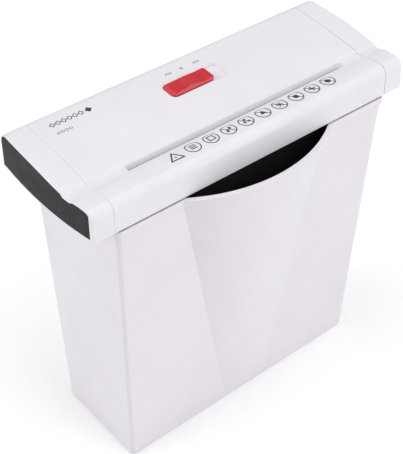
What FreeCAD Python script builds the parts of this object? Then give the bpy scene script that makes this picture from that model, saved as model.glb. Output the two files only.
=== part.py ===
"""Small strip-cut paper shredder: a lift-off cutting head on a tapered waste bin.

Millimetres. X runs along the paper slot, Y from front to back, Z up. The origin is on the floor, below the
middle of the whole object. Every separate physical piece is written to parts/ as its own STEP file.
"""
import math
import os

import FreeCAD
import Part

V = FreeCAD.Vector

# -------------------------------------------- driving dimensions: head, seen from the side
HEAD_LENGTH = 318.4            # end to end, over the bowed end faces
CAP_WIDTH = 21.0               # each end cap
SEAM_GAP = 0.15                # open line between the cover and a cap
OUTLINE_DROP = 8.0             # how far the head's side view runs on below it while its parts are cut
SEAM_ROUND = 0.5               # rounding of the cover's edge along the open line
HEAD_WALL = 2.2                # plastic wall thickness
HEAD_FRONT_Y = -45.95          # lower front edge of the head
HEAD_FRONT_Z = 271.1
HEAD_BACK_Y = 71.75            # lower back edge
HEAD_BACK_Z = 272.1
BACK_TOP_Y, BACK_TOP_Z = 70.9, 305.3   # where the top would meet the back face without its rounding
BACK_ROUND = 9.0
CROWN_Y, CROWN_Z = 27.0, 302.25        # the top is gently crowned about this line
CROWN_ROUND = 300.0
DIP_Y, DIP_Z = -10.1, 296.5            # where the sloping top meets the valley
VALLEY_Z = 294.5                       # flat floor of the valley that holds the slot
NOSE_TOP_Z = 296.9                     # top of the raised nose in front of the valley
NOSE_ROUND = 8.0                       # rounding between the nose and the front face
END_BOW = 2.2                          # how far the end faces bow out
CAP_EDGE = 0.8                         # rounding of the edge around an end face
CAP_BELLY_Z = 268.0                    # lowest line of a cap's bowed underside
PANEL_INSET = 1.15                     # white rim left around a black end panel
PANEL_BELLY_RIM = 0.85                 # extra width of that rim along the underside
PANEL_FRONT_RIM = 2.8                  # and along the front
PANEL_THICK = 1.6

# -------------------------------------------- paper slot and throat
SLOT_X0, SLOT_X1 = -104.9, 117.1
SLOT_Y0, SLOT_Y1 = -18.5, -12.6
SLOT_MID_X = (SLOT_X0 + SLOT_X1) / 2
NIP_Y = -15.35                          # the two rows of discs meet here, below the slot
THROAT_WALL = 1.5
THROAT_BOTTOM_Z = 262.0
RAMP_Y, RAMP_Z = -14.35, 291.2         # lower edge of the slope that leads a sheet into the throat
END_RAMP = 3.2                          # the same slope at the right end of the slot is this long

# -------------------------------------------- waste bin
BIN_TOP_Z = 270.0
BIN_WALL = 2.0
BIN_BOTTOM_HALF, BIN_TOP_HALF = 127.8, 136.3        # half lengths in X
BIN_BOTTOM_FRONT, BIN_TOP_FRONT = -35.05, -45.8      # front wall in Y
BIN_BOTTOM_BACK, BIN_TOP_BACK = 60.15, 66.0          # back wall in Y
BIN_CORNER = 3.6
BULGE_BASE_Z = 6.0             # the cone in the front wall grows from here up to the rim
BULGE_BASE_HALF, BULGE_TOP_HALF = 22.6, 77.0
BULGE_BASE_RISE, BULGE_TOP_RISE = 0.25, 24.45
LIP_HEIGHT = 5.5
LIP_OUT = 1.5

# -------------------------------------------- cutting unit
CUTTER_Z = 247.0
SHAFT_GAP = 22.5                                     # between the two cutter shafts
FRONT_Y = NIP_Y - SHAFT_GAP / 2
REAR_Y = NIP_Y + SHAFT_GAP / 2
DISC_R = 12.0
DISC_WIDTH = 6.2
DISC_PITCH = 13.0
DISC_COUNT = 17
FIRST_FRONT_DISC_X = -100.75                         # middle of the leftmost front disc
SPACER_R = 7.0
SHAFT_R = 4.0                                        # round ends, and half the hexagon across its flats
RUNNING = 0.05                                       # radial clearance of a running fit
LEFT_PLATE_X, RIGHT_PLATE_X = -113.0, 121.0          # outer left face, inner right face
PLATE = 2.0
PLATE_SCREWS = [(LEFT_PLATE_X + 8, 17.0), (LEFT_PLATE_X + 8, 50.0), (RIGHT_PLATE_X - 6, 16.0),
                (RIGHT_PLATE_X - 6, 27.0)]
RODS = [(FRONT_Y - 10.0, 231.6), (REAR_Y + 10.0, 231.6), (FRONT_Y - 8.4, 267.0), (REAR_Y + 8.0, 267.0)]
ROD_R = 2.5
BUSH_R = 6.5

# -------------------------------------------- gear train, all on axes along X
PRESSURE_ANGLE = math.radians(25)
FLANK_STEPS = 5                                      # points along the curved face of a tooth
LAYER_A = (-120.4, -114.6)                           # drive gear, pinion of gear two, wheel of gear one
LAYER_B = (-126.6, -121.2)                           # wheel of gear two, pinion of gear one
SYNC_LAYER = (124.3, 128.2)
SYNC_TEETH, SYNC_MODULE = 18, 1.25
DRIVE_TEETH, TWO_PINION_TEETH, DRIVE_MODULE = 36, 12, 1.25
TWO_WHEEL_TEETH, ONE_PINION_TEETH, MIDDLE_MODULE = 40, 12, 1.0
ONE_WHEEL_TEETH, MOTOR_TEETH, FAST_MODULE = 38, 10, 0.8
TWO_ANGLE, ONE_ANGLE, MOTOR_ANGLE = 20.0, 40.0, -100.0      # direction from each axis to the next, degrees
PIN_R = 2.0
POSTS = [(8.0, 277.0), (52.0, 236.0), (24.0, 230.0)]
GEAR_COVER_X = -130.2


def along(y, z, distance, degrees):
    """The point at a distance and direction from (y, z) in a side view."""
    turn = math.radians(degrees)
    return y + distance * math.cos(turn), z + distance * math.sin(turn)


TWO_Y, TWO_Z = along(REAR_Y, CUTTER_Z, DRIVE_MODULE * (DRIVE_TEETH + TWO_PINION_TEETH) / 2, TWO_ANGLE)
ONE_Y, ONE_Z = along(TWO_Y, TWO_Z, MIDDLE_MODULE * (TWO_WHEEL_TEETH + ONE_PINION_TEETH) / 2, ONE_ANGLE)
MOTOR_Y, MOTOR_Z = along(ONE_Y, ONE_Z, FAST_MODULE * (ONE_WHEEL_TEETH + MOTOR_TEETH) / 2, MOTOR_ANGLE)

# -------------------------------------------- motor
MOTOR_R = 18.0
MOTOR_FRONT_X, MOTOR_BACK_X = -107.0, -55.0
MOTOR_SHAFT_R = 1.6
BRUSH_X = MOTOR_BACK_X - 5.5
ARMATURE_SPAN = (MOTOR_FRONT_X + 9, MOTOR_BACK_X - 14)
ARMATURE_R = 12.6
SLOTS = 8
FAN_X = MOTOR_BACK_X + 7

# -------------------------------------------- lower housing, the tub that hangs into the bin
TUB_X0, TUB_X1 = -132.5, 132.5
TUB_Y0, TUB_Y1 = -41.3, 62.0
TUB_CORNER = 6.5
TUB_Z0 = 219.5
TUB_WALL = 1.6
TUB_FLOOR = 2.0
FLANGE_Z0, FLANGE_Z1 = 270.4, 273.4
SKIRT_HALF, SKIRT_Z1 = 137.0, 270.9                  # thin edge of the flange, seen between head and bin
SKIRT_Y0, SKIRT_Y1 = -45.6, 70.6
FLOOR_Z = TUB_Z0 + TUB_FLOOR
BOARD = (0.0, 96.0, 17.0, 50.0)
BOARD_Z = FLOOR_Z + 5.0
TOWERS = [(-126.0, -35.2), (126.6, 20.0), (-30.0, 52.0), (60.0, 56.5)]       # screw towers of the cover
TOWER_R, PILOT_R = 3.6, 1.3

# -------------------------------------------- slide button, in the plane of the sloping top
BUTTON_Y, BUTTON_Z = 33.6, 302.65                    # the crowned top at the middle of the button
BUTTON_LEAN = 5.1                                    # lean of the top there, degrees
BUTTON_X0, BUTTON_X1 = -27.3, 15.5
BUTTON_HALF = 8.0
BUTTON_CORNER = 4.2
RIB_PITCH = 2.3
SLIDE_GAP = 0.4                                      # free space around the button
RECESS_SPREAD, RECESS_SIDE_SPREAD = 2.0, 0.5         # lean of the recess walls, right end and sides
BUTTON_TRAVEL = 11.0
RECESS_DEPTH = 2.0

# -------------------------------------------- paper lever and interlock
LEVER_Y, LEVER_Z = -5.0, 288.0
PLUNGER_X, PLUNGER_Y = 125.5, 57.0
LUG_TOP_Z = 263.8
AUTO_X = SLOT_MID_X + 2.6

# -------------------------------------------- cord gland in the back wall
GLAND_X, GLAND_Z, GLAND_R, CORD_R = 95.0, 284.0, 6.0, 3.2


# ============================================ small drawing tools
def tangent_corner(before, corner, after, radius):
    """The start, middle and end of the arc that rounds one corner of an outline."""
    to_before = (before - corner).normalize()
    to_after = (after - corner).normalize()
    half = to_before.getAngle(to_after) / 2
    reach = radius / math.tan(half)
    middle = (to_before + to_after).normalize()
    centre = corner + middle * (radius / math.sin(half))
    return corner + to_before * reach, centre - middle * radius, corner + to_after * reach


def outline(points, place):
    """A closed wire through (a, b, radius) points, with every corner rounded by its own radius."""
    count = len(points)
    spots = [place(a, b) for a, b, _ in points]
    corners = []
    for i, (_, _, radius) in enumerate(points):
        if radius > 0:
            corners.append(tangent_corner(spots[i - 1], spots[i], spots[(i + 1) % count], radius))
        else:
            corners.append((spots[i], None, spots[i]))
    edges = []
    for i, (start, middle, end) in enumerate(corners):
        if middle is not None:
            edges.append(Part.Arc(start, middle, end).toShape())
        following = corners[(i + 1) % count][0]
        if end.distanceToPoint(following) > 1e-6:
            edges.append(Part.makeLine(end, following))
    return Part.Wire(Part.__sortEdges__(edges))


def moved_in(points, inset):
    """A clockwise outline with every side moved inwards, and every rounding kept concentric."""
    count = len(points)
    sides = []
    for i in range(count):
        (a0, b0, _), (a1, b1, _) = points[i], points[(i + 1) % count]
        length = math.hypot(a1 - a0, b1 - b0)
        da, db = (a1 - a0) / length, (b1 - b0) / length
        sides.append((a0 + db * inset, b0 - da * inset, da, db))
    moved = []
    for i in range(count):
        a0, b0, da0, db0 = sides[i - 1]
        a1, b1, da1, db1 = sides[i]
        turn = da0 * db1 - db0 * da1
        run = ((a1 - a0) * db1 - (b1 - b0) * da1) / turn
        radius = points[i][2]
        if radius > 0:
            radius = radius + inset if turn > 0 else max(radius - inset, 0)
        moved.append((a0 + da0 * run, b0 + db0 * run, radius))
    return moved


def side_prism(points, x0, x1):
    """A (y, z, radius) outline drawn out along X."""
    return Part.Face(outline(points, lambda y, z: V(x0, y, z))).extrude(V(x1 - x0, 0, 0))


def plan_prism(points, z0, z1):
    """An (x, y, radius) outline drawn out along Z."""
    return Part.Face(outline(points, lambda x, y: V(x, y, z0))).extrude(V(0, 0, z1 - z0))


def front_prism(points, y0, y1):
    """An (x, z, radius) outline drawn out along Y."""
    return Part.Face(outline(points, lambda x, z: V(x, y0, z))).extrude(V(0, y1 - y0, 0))


def block(x0, x1, y0, y1, z0, z1):
    return Part.makeBox(x1 - x0, y1 - y0, z1 - z0, V(x0, y0, z0))


def rod_x(x0, x1, y, z, radius):
    return Part.makeCylinder(radius, x1 - x0, V(x0, y, z), V(1, 0, 0))


def rod_y(y0, y1, x, z, radius):
    return Part.makeCylinder(radius, y1 - y0, V(x, y0, z), V(0, 1, 0))


def rod_z(z0, z1, x, y, radius):
    return Part.makeCylinder(radius, z1 - z0, V(x, y, z0), V(0, 0, 1))


def ring_x(x0, x1, y, z, outer, inner):
    return rod_x(x0, x1, y, z, outer).cut(rod_x(x0 - 1, x1 + 1, y, z, inner))


def joined(shapes):
    """One solid from pieces that touch or overlap."""
    whole = shapes[0]
    for shape in shapes[1:]:
        whole = whole.fuse(shape)
    return whole.removeSplitter()


def group(shapes):
    return Part.makeCompound(shapes)


def on_slope(shape):
    """Moves a shape drawn flat about the origin onto the sloping top, at the middle of the button."""
    placed = shape.copy()
    placed.rotate(V(0, 0, 0), V(1, 0, 0), BUTTON_LEAN)
    placed.translate(V(0, BUTTON_Y, BUTTON_Z))
    return placed


def slope_z(y):
    """Height of the sloping top behind its crown, before the crown's rounding."""
    return CROWN_Z + (y - CROWN_Y) * (BACK_TOP_Z - CROWN_Z) / (BACK_TOP_Y - CROWN_Y)


def back_wall_y(z):
    """Where the outside of the back wall is at a height."""
    return HEAD_BACK_Y - (z - HEAD_BACK_Z) * (HEAD_BACK_Y - BACK_TOP_Y) / (BACK_TOP_Z - HEAD_BACK_Z)


def coil(radius, wire, turns, pitch):
    """A helical spring that winds up along Z from the origin."""
    profile = Part.Wire(Part.makeCircle(wire, V(radius, 0, 0), V(0, 1, 0)))
    return Part.Wire(Part.makeHelix(pitch, pitch * turns, radius)).makePipeShell([profile], True, True)


# ============================================ waste bin
def rounded_box_wire(half, front, back, radius, z):
    corners = [(-half, front, radius), (half, front, radius), (half, back, radius), (-half, back, radius)]
    return outline(corners, lambda x, y: V(x, y, z))


def bulge_wire(half, wall_y, rise, z):
    """The D-shaped section of the front bulge at one height: an arc in front, square behind the wall."""
    behind = wall_y + 12
    left, right = V(-half, wall_y, z), V(half, wall_y, z)
    arc = Part.Arc(left, V(0, wall_y - rise, z), right).toShape()
    edges = [arc, Part.makeLine(right, V(half, behind, z)),
             Part.makeLine(V(half, behind, z), V(-half, behind, z)), Part.makeLine(V(-half, behind, z), left)]
    return Part.Wire(edges)


def bin_front(z):
    """Where the flat part of the front wall is at a height."""
    return BIN_BOTTOM_FRONT + (BIN_TOP_FRONT - BIN_BOTTOM_FRONT) * z / BIN_TOP_Z


def bin_body(inset, z0, z1):
    """The tapered bin between two heights, with its walls moved inwards by an inset."""
    wires = []
    for z in (z0, z1):
        share = z / BIN_TOP_Z
        half = BIN_BOTTOM_HALF + (BIN_TOP_HALF - BIN_BOTTOM_HALF) * share - inset
        back = BIN_BOTTOM_BACK + (BIN_TOP_BACK - BIN_BOTTOM_BACK) * share - inset
        wires.append(rounded_box_wire(half, bin_front(z) + inset, back, BIN_CORNER - inset, z))
    return Part.makeLoft(wires, True, True)


def bulge_body(inset, z0, z1):
    """The cone in the front wall. Its circle keeps its centre while the inset shrinks its radius."""
    wires = []
    for z in (z0, z1):
        share = (z - BULGE_BASE_Z) / (BIN_TOP_Z - BULGE_BASE_Z)
        half = BULGE_BASE_HALF + (BULGE_TOP_HALF - BULGE_BASE_HALF) * share
        rise = BULGE_BASE_RISE + (BULGE_TOP_RISE - BULGE_BASE_RISE) * share
        radius = (half * half + rise * rise) / (2 * rise)
        wall_y = bin_front(z) + inset
        inner_half = math.sqrt((radius - inset) ** 2 - (radius - inset - rise) ** 2)
        wires.append(bulge_wire(inner_half, wall_y, rise, z))
    return Part.makeLoft(wires, True, True)


def waste_bin():
    lip_z = BIN_TOP_Z - LIP_HEIGHT
    body = bin_body(0, 0, BIN_TOP_Z)
    bottom_edges = [e for e in body.Edges if e.BoundBox.ZMax < 0.01]
    body = body.makeFillet(3.0, bottom_edges)
    outer = body.fuse(bulge_body(0, BULGE_BASE_Z, BIN_TOP_Z))
    lip_box = plan_prism([(-BIN_TOP_HALF - LIP_OUT, BIN_TOP_FRONT - LIP_OUT, BIN_CORNER + LIP_OUT),
                          (BIN_TOP_HALF + LIP_OUT, BIN_TOP_FRONT - LIP_OUT, BIN_CORNER + LIP_OUT),
                          (BIN_TOP_HALF + LIP_OUT, BIN_TOP_BACK + LIP_OUT, BIN_CORNER + LIP_OUT),
                          (-BIN_TOP_HALF - LIP_OUT, BIN_TOP_BACK + LIP_OUT, BIN_CORNER + LIP_OUT)],
                         lip_z, BIN_TOP_Z)
    radius = (BULGE_TOP_HALF ** 2 + BULGE_TOP_RISE ** 2) / (2 * BULGE_TOP_RISE) + LIP_OUT
    half = math.sqrt(radius ** 2 - (radius - BULGE_TOP_RISE) ** 2)
    wire = bulge_wire(half, BIN_TOP_FRONT - LIP_OUT, BULGE_TOP_RISE, lip_z)
    lip_bulge = Part.Face(wire).extrude(V(0, 0, LIP_HEIGHT))
    lip = lip_box.fuse(lip_bulge).removeSplitter()
    top_edges = [e for e in lip.Edges if e.BoundBox.ZMin > BIN_TOP_Z - 0.01]
    lip = lip.makeFillet(0.7, top_edges)
    hollow = bin_body(BIN_WALL, BIN_WALL, BIN_TOP_Z + 1)
    hollow = hollow.fuse(bulge_body(BIN_WALL, BULGE_BASE_Z + BIN_WALL, BIN_TOP_Z + 1))
    lug = block(118.5, BIN_TOP_HALF - 0.5, 51.0, BIN_TOP_BACK - 0.6, 240.0, LUG_TOP_Z)
    lug = lug.common(bin_body(0.5, 0, BIN_TOP_Z))
    return joined([outer.fuse(lip).cut(hollow), lug])


# ============================================ head covers
def head_outline(drop=0.0):
    """Side view of the head. The front and back faces run on below their lower edges by a drop."""
    nose_y = HEAD_FRONT_Y + 0.85
    front_lean = (HEAD_FRONT_Y - nose_y) / (NOSE_TOP_Z - HEAD_FRONT_Z)
    back_lean = (HEAD_BACK_Y - BACK_TOP_Y) / (BACK_TOP_Z - HEAD_BACK_Z)
    return [(HEAD_FRONT_Y + front_lean * drop, HEAD_FRONT_Z - drop, 0),
            (nose_y, NOSE_TOP_Z, NOSE_ROUND),
            (-31.5, NOSE_TOP_Z + 0.3, 20),
            (-24.2, NOSE_TOP_Z - 0.3, 2.5),
            (-20.2, VALLEY_Z, 1.0),
            (-13.0, VALLEY_Z, 1.0),
            (DIP_Y, DIP_Z, 2.5),
            (CROWN_Y, CROWN_Z, CROWN_ROUND),
            (BACK_TOP_Y, BACK_TOP_Z, BACK_ROUND),
            (HEAD_BACK_Y + back_lean * drop, HEAD_BACK_Z - drop, 0)]


def head_hollow(x0, x1):
    """The space inside the head's wall, open below."""
    return side_prism(moved_in(head_outline(OUTLINE_DROP), HEAD_WALL), x0, x1)


def cover_half():
    return HEAD_LENGTH / 2 - CAP_WIDTH - SEAM_GAP


def throat():
    """The walls that guide the sheet from the slot down to the cutters."""
    return block(SLOT_X0 - THROAT_WALL, SLOT_X1 + THROAT_WALL, SLOT_Y0 - THROAT_WALL, SLOT_Y1 + THROAT_WALL,
                 THROAT_BOTTOM_Z, VALLEY_Z - 0.5)


def slot_ramp():
    """The slope at the back of the slot that leads a sheet forward into the throat."""
    rear = side_prism([(SLOT_Y1 + 0.5, VALLEY_Z - 0.02, 0), (SLOT_Y1 - 0.1, VALLEY_Z - 0.02, 0),
                       (RAMP_Y, RAMP_Z, 0.3), (RAMP_Y, RAMP_Z - 1.5, 0.3),
                       (SLOT_Y1 + 0.5, RAMP_Z - 5.0, 0)],
                      SLOT_X0 - 0.2, SLOT_X1 + 0.2)
    end = front_prism([(SLOT_X1 + 0.5, VALLEY_Z - 0.02, 0), (SLOT_X1 - 0.1, VALLEY_Z - 0.02, 0),
                       (SLOT_X1 - END_RAMP, RAMP_Z - 1.2, 0.3), (SLOT_X1 + 0.5, RAMP_Z - 6.0, 0)],
                      SLOT_Y0 - 0.2, SLOT_Y1 + 0.2)
    return rear.fuse(end)


def lever_window():
    """Opening through both throat walls and the switch ledge for the paper lever."""
    return block(SLOT_MID_X - 2.2, SLOT_MID_X + 2.2, SLOT_Y0 - THROAT_WALL - 0.1, SLOT_Y1 + 10.0,
                 THROAT_BOTTOM_Z - 1, LEVER_Z - 2.0)


def slot_space():
    return block(SLOT_X0, SLOT_X1, SLOT_Y0, SLOT_Y1, THROAT_BOTTOM_Z - 1, NOSE_TOP_Z + 2)


def button_recess():
    """The shallow pocket with sloped sides that the button slides in, cut a little proud of the surface."""
    x0, x1, half = BUTTON_X0 - SLIDE_GAP, BUTTON_X1 + BUTTON_TRAVEL + SLIDE_GAP, BUTTON_HALF + SLIDE_GAP
    floor = [(x0, -half, BUTTON_CORNER), (x1, -half, 1.5), (x1, half, 1.5), (x0, half, BUTTON_CORNER)]
    rise = (RECESS_DEPTH + 1) / RECESS_DEPTH
    side_spread = RECESS_SIDE_SPREAD * rise
    right_spread = RECESS_SPREAD * rise
    rim = [(x + (right_spread if x > 0 else 0), y + math.copysign(side_spread, y), radius + 1)
           for x, y, radius in floor]
    low = outline(floor, lambda x, y: V(x, y, -RECESS_DEPTH))
    high = outline(rim, lambda x, y: V(x, y, 1))
    return Part.makeLoft([low, high], True, True)


def lever_ears():
    """Two ears under the cover that carry the paper lever's pin."""
    outline_points = [(LEVER_Y - 3, LEVER_Z - 3, 2.5), (LEVER_Y + 3, LEVER_Z - 3, 2.5),
                      (LEVER_Y + 3, 297, 0), (LEVER_Y - 3, 295, 0)]
    ears = [side_prism(outline_points, x, x + 2) for x in (SLOT_MID_X - 4.6, SLOT_MID_X + 5.2)]
    bore = rod_x(SLOT_MID_X - 10, SLOT_MID_X + 10, LEVER_Y, LEVER_Z, 1.5 + RUNNING)
    return [ear.cut(bore) for ear in ears]


def switch_posts():
    """Two posts under the cover for the slide switch."""
    return [on_slope(rod_z(-7.0, -3.0, x, 0, 2.6)) for x in (-24.0, 24.0)]


def top_cover():
    half = cover_half()
    skin = side_prism(head_outline(), -half, half)
    ends = [e for e in skin.Edges if e.BoundBox.XLength < 0.01 and e.BoundBox.ZMax > HEAD_BACK_Z + 1]
    shell = skin.makeFillet(SEAM_ROUND, ends).cut(head_hollow(-half - 1, half + 1))
    thick = on_slope(block(-33, 32, -12, 12, -RECESS_DEPTH - 2.2, -1.0))
    towers = [rod_z(FLOOR_Z + 0.1, slope_z(y) - 1.0 if y > 0 else 295.0, x, y, TOWER_R) for x, y in TOWERS]
    inner_parts = towers + lever_ears() + switch_posts() + [auto_switch_ledge()]
    cover = joined([shell, throat(), thick] + inner_parts)
    cover = joined([cover.cut(slot_space()), slot_ramp()])
    cover = cover.cut(on_slope(button_recess()))
    cover = cover.cut(on_slope(block(-12.6, 11.6, -3.0, 3.0, -8, 2)))
    cover = cover.cut(lever_window())
    for x, y in TOWERS:
        cover = cover.cut(rod_z(FLOOR_Z - 1, FLOOR_Z + 16, x, y, PILOT_R))
    cover = cover.cut(rod_y(HEAD_BACK_Y - 20, HEAD_BACK_Y + 5, GLAND_X, GLAND_Z, GLAND_R + 0.05))
    return cover


def cap_belly(x0, x1):
    """Everything below the bowed underside of an end cap."""
    left, right = V(x0, HEAD_FRONT_Y - 0.01, HEAD_FRONT_Z), V(x0, HEAD_BACK_Y + 0.01, HEAD_BACK_Z)
    bow = Part.Arc(left, V(x0, (HEAD_FRONT_Y + HEAD_BACK_Y) / 2, CAP_BELLY_Z), right).toShape()
    back, front = HEAD_BACK_Y + 9, HEAD_FRONT_Y - 9
    corners = [right, V(x0, back, HEAD_BACK_Z), V(x0, back, 240), V(x0, front, 240),
               V(x0, front, HEAD_FRONT_Z), left]
    lines = [Part.makeLine(a, b) for a, b in zip(corners, corners[1:])]
    return Part.Face(Part.Wire([bow] + lines)).extrude(V(x1 - x0, 0, 0))


def end_slab(out, depth, margin=10.0):
    """A slab that follows the bowed end face, from a height over that face down to a depth below it."""
    middle = (HEAD_FRONT_Y + HEAD_BACK_Y) / 2
    reach = (HEAD_BACK_Y - HEAD_FRONT_Y) / 2
    radius = (reach ** 2 + END_BOW ** 2) / (2 * END_BOW)
    centre_x = HEAD_LENGTH / 2 - radius
    outer = rod_z(220, 330, centre_x, middle, radius + out)
    inner = rod_z(219, 331, centre_x, middle, radius - depth)
    for cylinder in (outer, inner):
        cylinder.rotate(V(centre_x, middle, 0), V(0, 0, 1), 180)
    window = block(100, 200, HEAD_FRONT_Y - margin, HEAD_BACK_Y + margin, 220, 330)
    return outer.cut(inner).common(window)


def panel_blank(inset, out, depth):
    """The black end panel's shape: the cap's outline moved inwards, cut from the bowed slab."""
    x0, x1 = 120, 170
    body = side_prism(moved_in(head_outline(OUTLINE_DROP), inset), x0, x1)
    belly = cap_belly(x0 - 1, x1 + 1)
    belly.translate(V(0, 0, inset + PANEL_BELLY_RIM))
    front = block(x0 - 1, x1 + 1, HEAD_FRONT_Y - 5, HEAD_FRONT_Y + inset + PANEL_FRONT_RIM, 260, 310)
    return body.cut(belly).cut(front).common(end_slab(out, depth))


def end_cap():
    x0, x1 = HEAD_LENGTH / 2 - CAP_WIDTH, HEAD_LENGTH / 2 + 4
    body = side_prism(head_outline(OUTLINE_DROP), x0, x1).cut(cap_belly(x0 - 1, x1 + 1))
    body = body.common(end_slab(0, 60))
    rim = [edge for edge in body.Edges if edge.BoundBox.XMin > HEAD_LENGTH / 2 - 5]
    body = body.makeFillet(CAP_EDGE, rim)
    inside = head_hollow(x0 - 1, x0 + 59)
    belly = cap_belly(x0 - 2, x1 + 50)
    belly.translate(V(0, 0, HEAD_WALL))
    inside = inside.cut(belly).common(end_slab(-HEAD_WALL - PANEL_THICK, 60))
    return body.cut(inside).cut(panel_blank(PANEL_INSET - 0.1, 5, PANEL_THICK))


def end_panel():
    return panel_blank(PANEL_INSET, -0.15, PANEL_THICK - 0.5)


def mirrored(shape):
    return shape.mirror(V(0, 0, 0), V(1, 0, 0))


# ============================================ lower housing and its fixings
def bulkhead():
    """The rib that keeps paper strips out of the motor bay."""
    return block(LEFT_PLATE_X + 2.6, RIGHT_PLATE_X - 0.6, REAR_Y + 13.4, REAR_Y + 15.0, FLOOR_Z - 0.5, 262)


def plunger_bracket():
    """Guides the interlock plunger and carries its switch."""
    x0, x1 = PLUNGER_X - 7, PLUNGER_X + 7
    post = block(x0, x1, PLUNGER_Y + 3.6, PLUNGER_Y + 5.2, FLANGE_Z1 - 0.5, 292)
    seat = block(x0, x1, PLUNGER_Y - 4.5, PLUNGER_Y + 5.2, 282.2, 283.6)
    return joined([post, seat])


def lower_housing():
    flange = plan_prism([(-137.2, HEAD_FRONT_Y + 2.6, 4), (137.2, HEAD_FRONT_Y + 2.6, 4), (137.2, 68.4, 4),
                         (-137.2, 68.4, 4)], FLANGE_Z0, FLANGE_Z1)
    skirt = plan_prism([(-SKIRT_HALF, SKIRT_Y0, 3), (SKIRT_HALF, SKIRT_Y0, 3), (SKIRT_HALF, SKIRT_Y1, 3),
                        (-SKIRT_HALF, SKIRT_Y1, 3)], FLANGE_Z0, SKIRT_Z1)
    flange = flange.fuse(skirt)
    corners = [(x, y, TUB_CORNER) for x, y in ((TUB_X0, TUB_Y0), (TUB_X1, TUB_Y0), (TUB_X1, TUB_Y1),
                                               (TUB_X0, TUB_Y1))]
    tub = plan_prism(corners, TUB_Z0, FLANGE_Z0 + 0.5)
    inside = plan_prism([(x - math.copysign(TUB_WALL, x), y - math.copysign(TUB_WALL, y), radius - TUB_WALL)
                         for x, y, radius in corners], FLOOR_Z, FLANGE_Z1 + 1)
    notch = block(PLUNGER_X - 9.5, TUB_X1 + 1, PLUNGER_Y - 9.0, TUB_Y1 + 1, TUB_Z0 - 1, FLANGE_Z0)
    notch_walls = block(PLUNGER_X - 9.5 - TUB_WALL, TUB_X1, PLUNGER_Y - 9.0 - TUB_WALL, TUB_Y1,
                        TUB_Z0, FLANGE_Z1)
    housing = flange.fuse(tub).cut(inside.cut(notch_walls)).cut(notch)
    exit_hole = block(LEFT_PLATE_X + 3, RIGHT_PLATE_X - 1, TUB_Y0 + TUB_WALL, REAR_Y + 12.6,
                      TUB_Z0 - 1, FLOOR_Z + 1)
    housing = joined([housing.cut(exit_hole), bulkhead(), plunger_bracket()] + board_posts())
    housing = housing.cut(rod_z(FLANGE_Z0 - 1, 290, PLUNGER_X, PLUNGER_Y, 2.7))
    for x, y in TOWERS:
        housing = housing.cut(rod_z(TUB_Z0 - 1, FLOOR_Z + 1, x, y, 1.8))
    for x, y in PLATE_SCREWS:
        housing = housing.cut(rod_z(TUB_Z0 - 1, FLOOR_Z + 1, x, y, 1.8))
    return housing


def screw(x, y, z, length, radius, head_radius):
    """A pan-head screw that points up from a head at z."""
    shank = rod_z(z, z + length, x, y, radius)
    head = rod_z(z - 1.6, z, x, y, head_radius)
    head = head.makeFillet(0.6, [e for e in head.Edges if e.BoundBox.ZMax < z - 1.5])
    cross = joined([block(x - 1.6, x + 1.6, y - 0.35, y + 0.35, z - 2, z - 0.8),
                    block(x - 0.35, x + 0.35, y - 1.6, y + 1.6, z - 2, z - 0.8)])
    return shank.fuse(head).cut(cross).removeSplitter()


def cover_screws():
    return group([screw(x, y, TUB_Z0, 14, 1.25, 3.0) for x, y in TOWERS])


def plate_screws():
    return group([screw(x, y, TUB_Z0, 4.2, 1.5, 2.8) for x, y in PLATE_SCREWS])


# ============================================ steel frame of the cutting unit


def plate_holes(x0, x1):
    holes = [rod_x(x0, x1, FRONT_Y, CUTTER_Z, BUSH_R), rod_x(x0, x1, REAR_Y, CUTTER_Z, BUSH_R)]
    return holes + [rod_x(x0, x1, y, z, 1.7) for y, z in RODS]


def left_side_plate():
    x0, x1 = LEFT_PLATE_X, LEFT_PLATE_X + PLATE
    face = side_prism([(-39.2, FLOOR_Z + 0.2, 3), (57.5, FLOOR_Z + 0.2, 3), (57.5, 282, 6), (2, 282, 6),
                       (-4, 272, 4), (-39.2, 272, 6)], x0, x1)
    foot = block(x0, x0 + 13, 12.0, 55.5, FLOOR_Z + 0.2, FLOOR_Z + 0.2 + PLATE)
    plate = joined([face, foot])
    cutouts = plate_holes(x0 - 1, x1 + 1) + [rod_x(x0 - 1, x1 + 1, MOTOR_Y, MOTOR_Z, 5.2),
                                            rod_x(x0 - 1, x1 + 1, TWO_Y, TWO_Z, PIN_R),
                                            rod_x(x0 - 1, x1 + 1, ONE_Y, ONE_Z, PIN_R)]
    cutouts += [rod_x(x0 - 1, x1 + 1, y, z, 1.6) for y, z in motor_screw_spots()]
    cutouts += [rod_x(x0 - 1, x1 + 1, y, z, 1.6) for y, z in POSTS]
    cutouts += [rod_z(FLOOR_Z - 1, FLOOR_Z + 4, x, y, 1.5) for x, y in PLATE_SCREWS[:2]]
    for cutout in cutouts:
        plate = plate.cut(cutout)
    return plate


def right_side_plate():
    x0, x1 = RIGHT_PLATE_X, RIGHT_PLATE_X + PLATE
    face = side_prism([(-39.2, FLOOR_Z + 0.2, 3), (32, FLOOR_Z + 0.2, 3), (32, 240, 6), (10, 262, 8),
                       (10, 272, 4),
                       (-39.2, 272, 6)], x0, x1)
    foot = block(x1 - 13, x1, 12.0, 31.0, FLOOR_Z + 0.2, FLOOR_Z + 0.2 + PLATE)
    plate = joined([face, foot])
    for cutout in plate_holes(x0 - 1, x1 + 1):
        plate = plate.cut(cutout)
    for x, y in PLATE_SCREWS[2:]:
        plate = plate.cut(rod_z(FLOOR_Z - 1, FLOOR_Z + 4, x, y, 1.5))
    return plate


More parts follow.
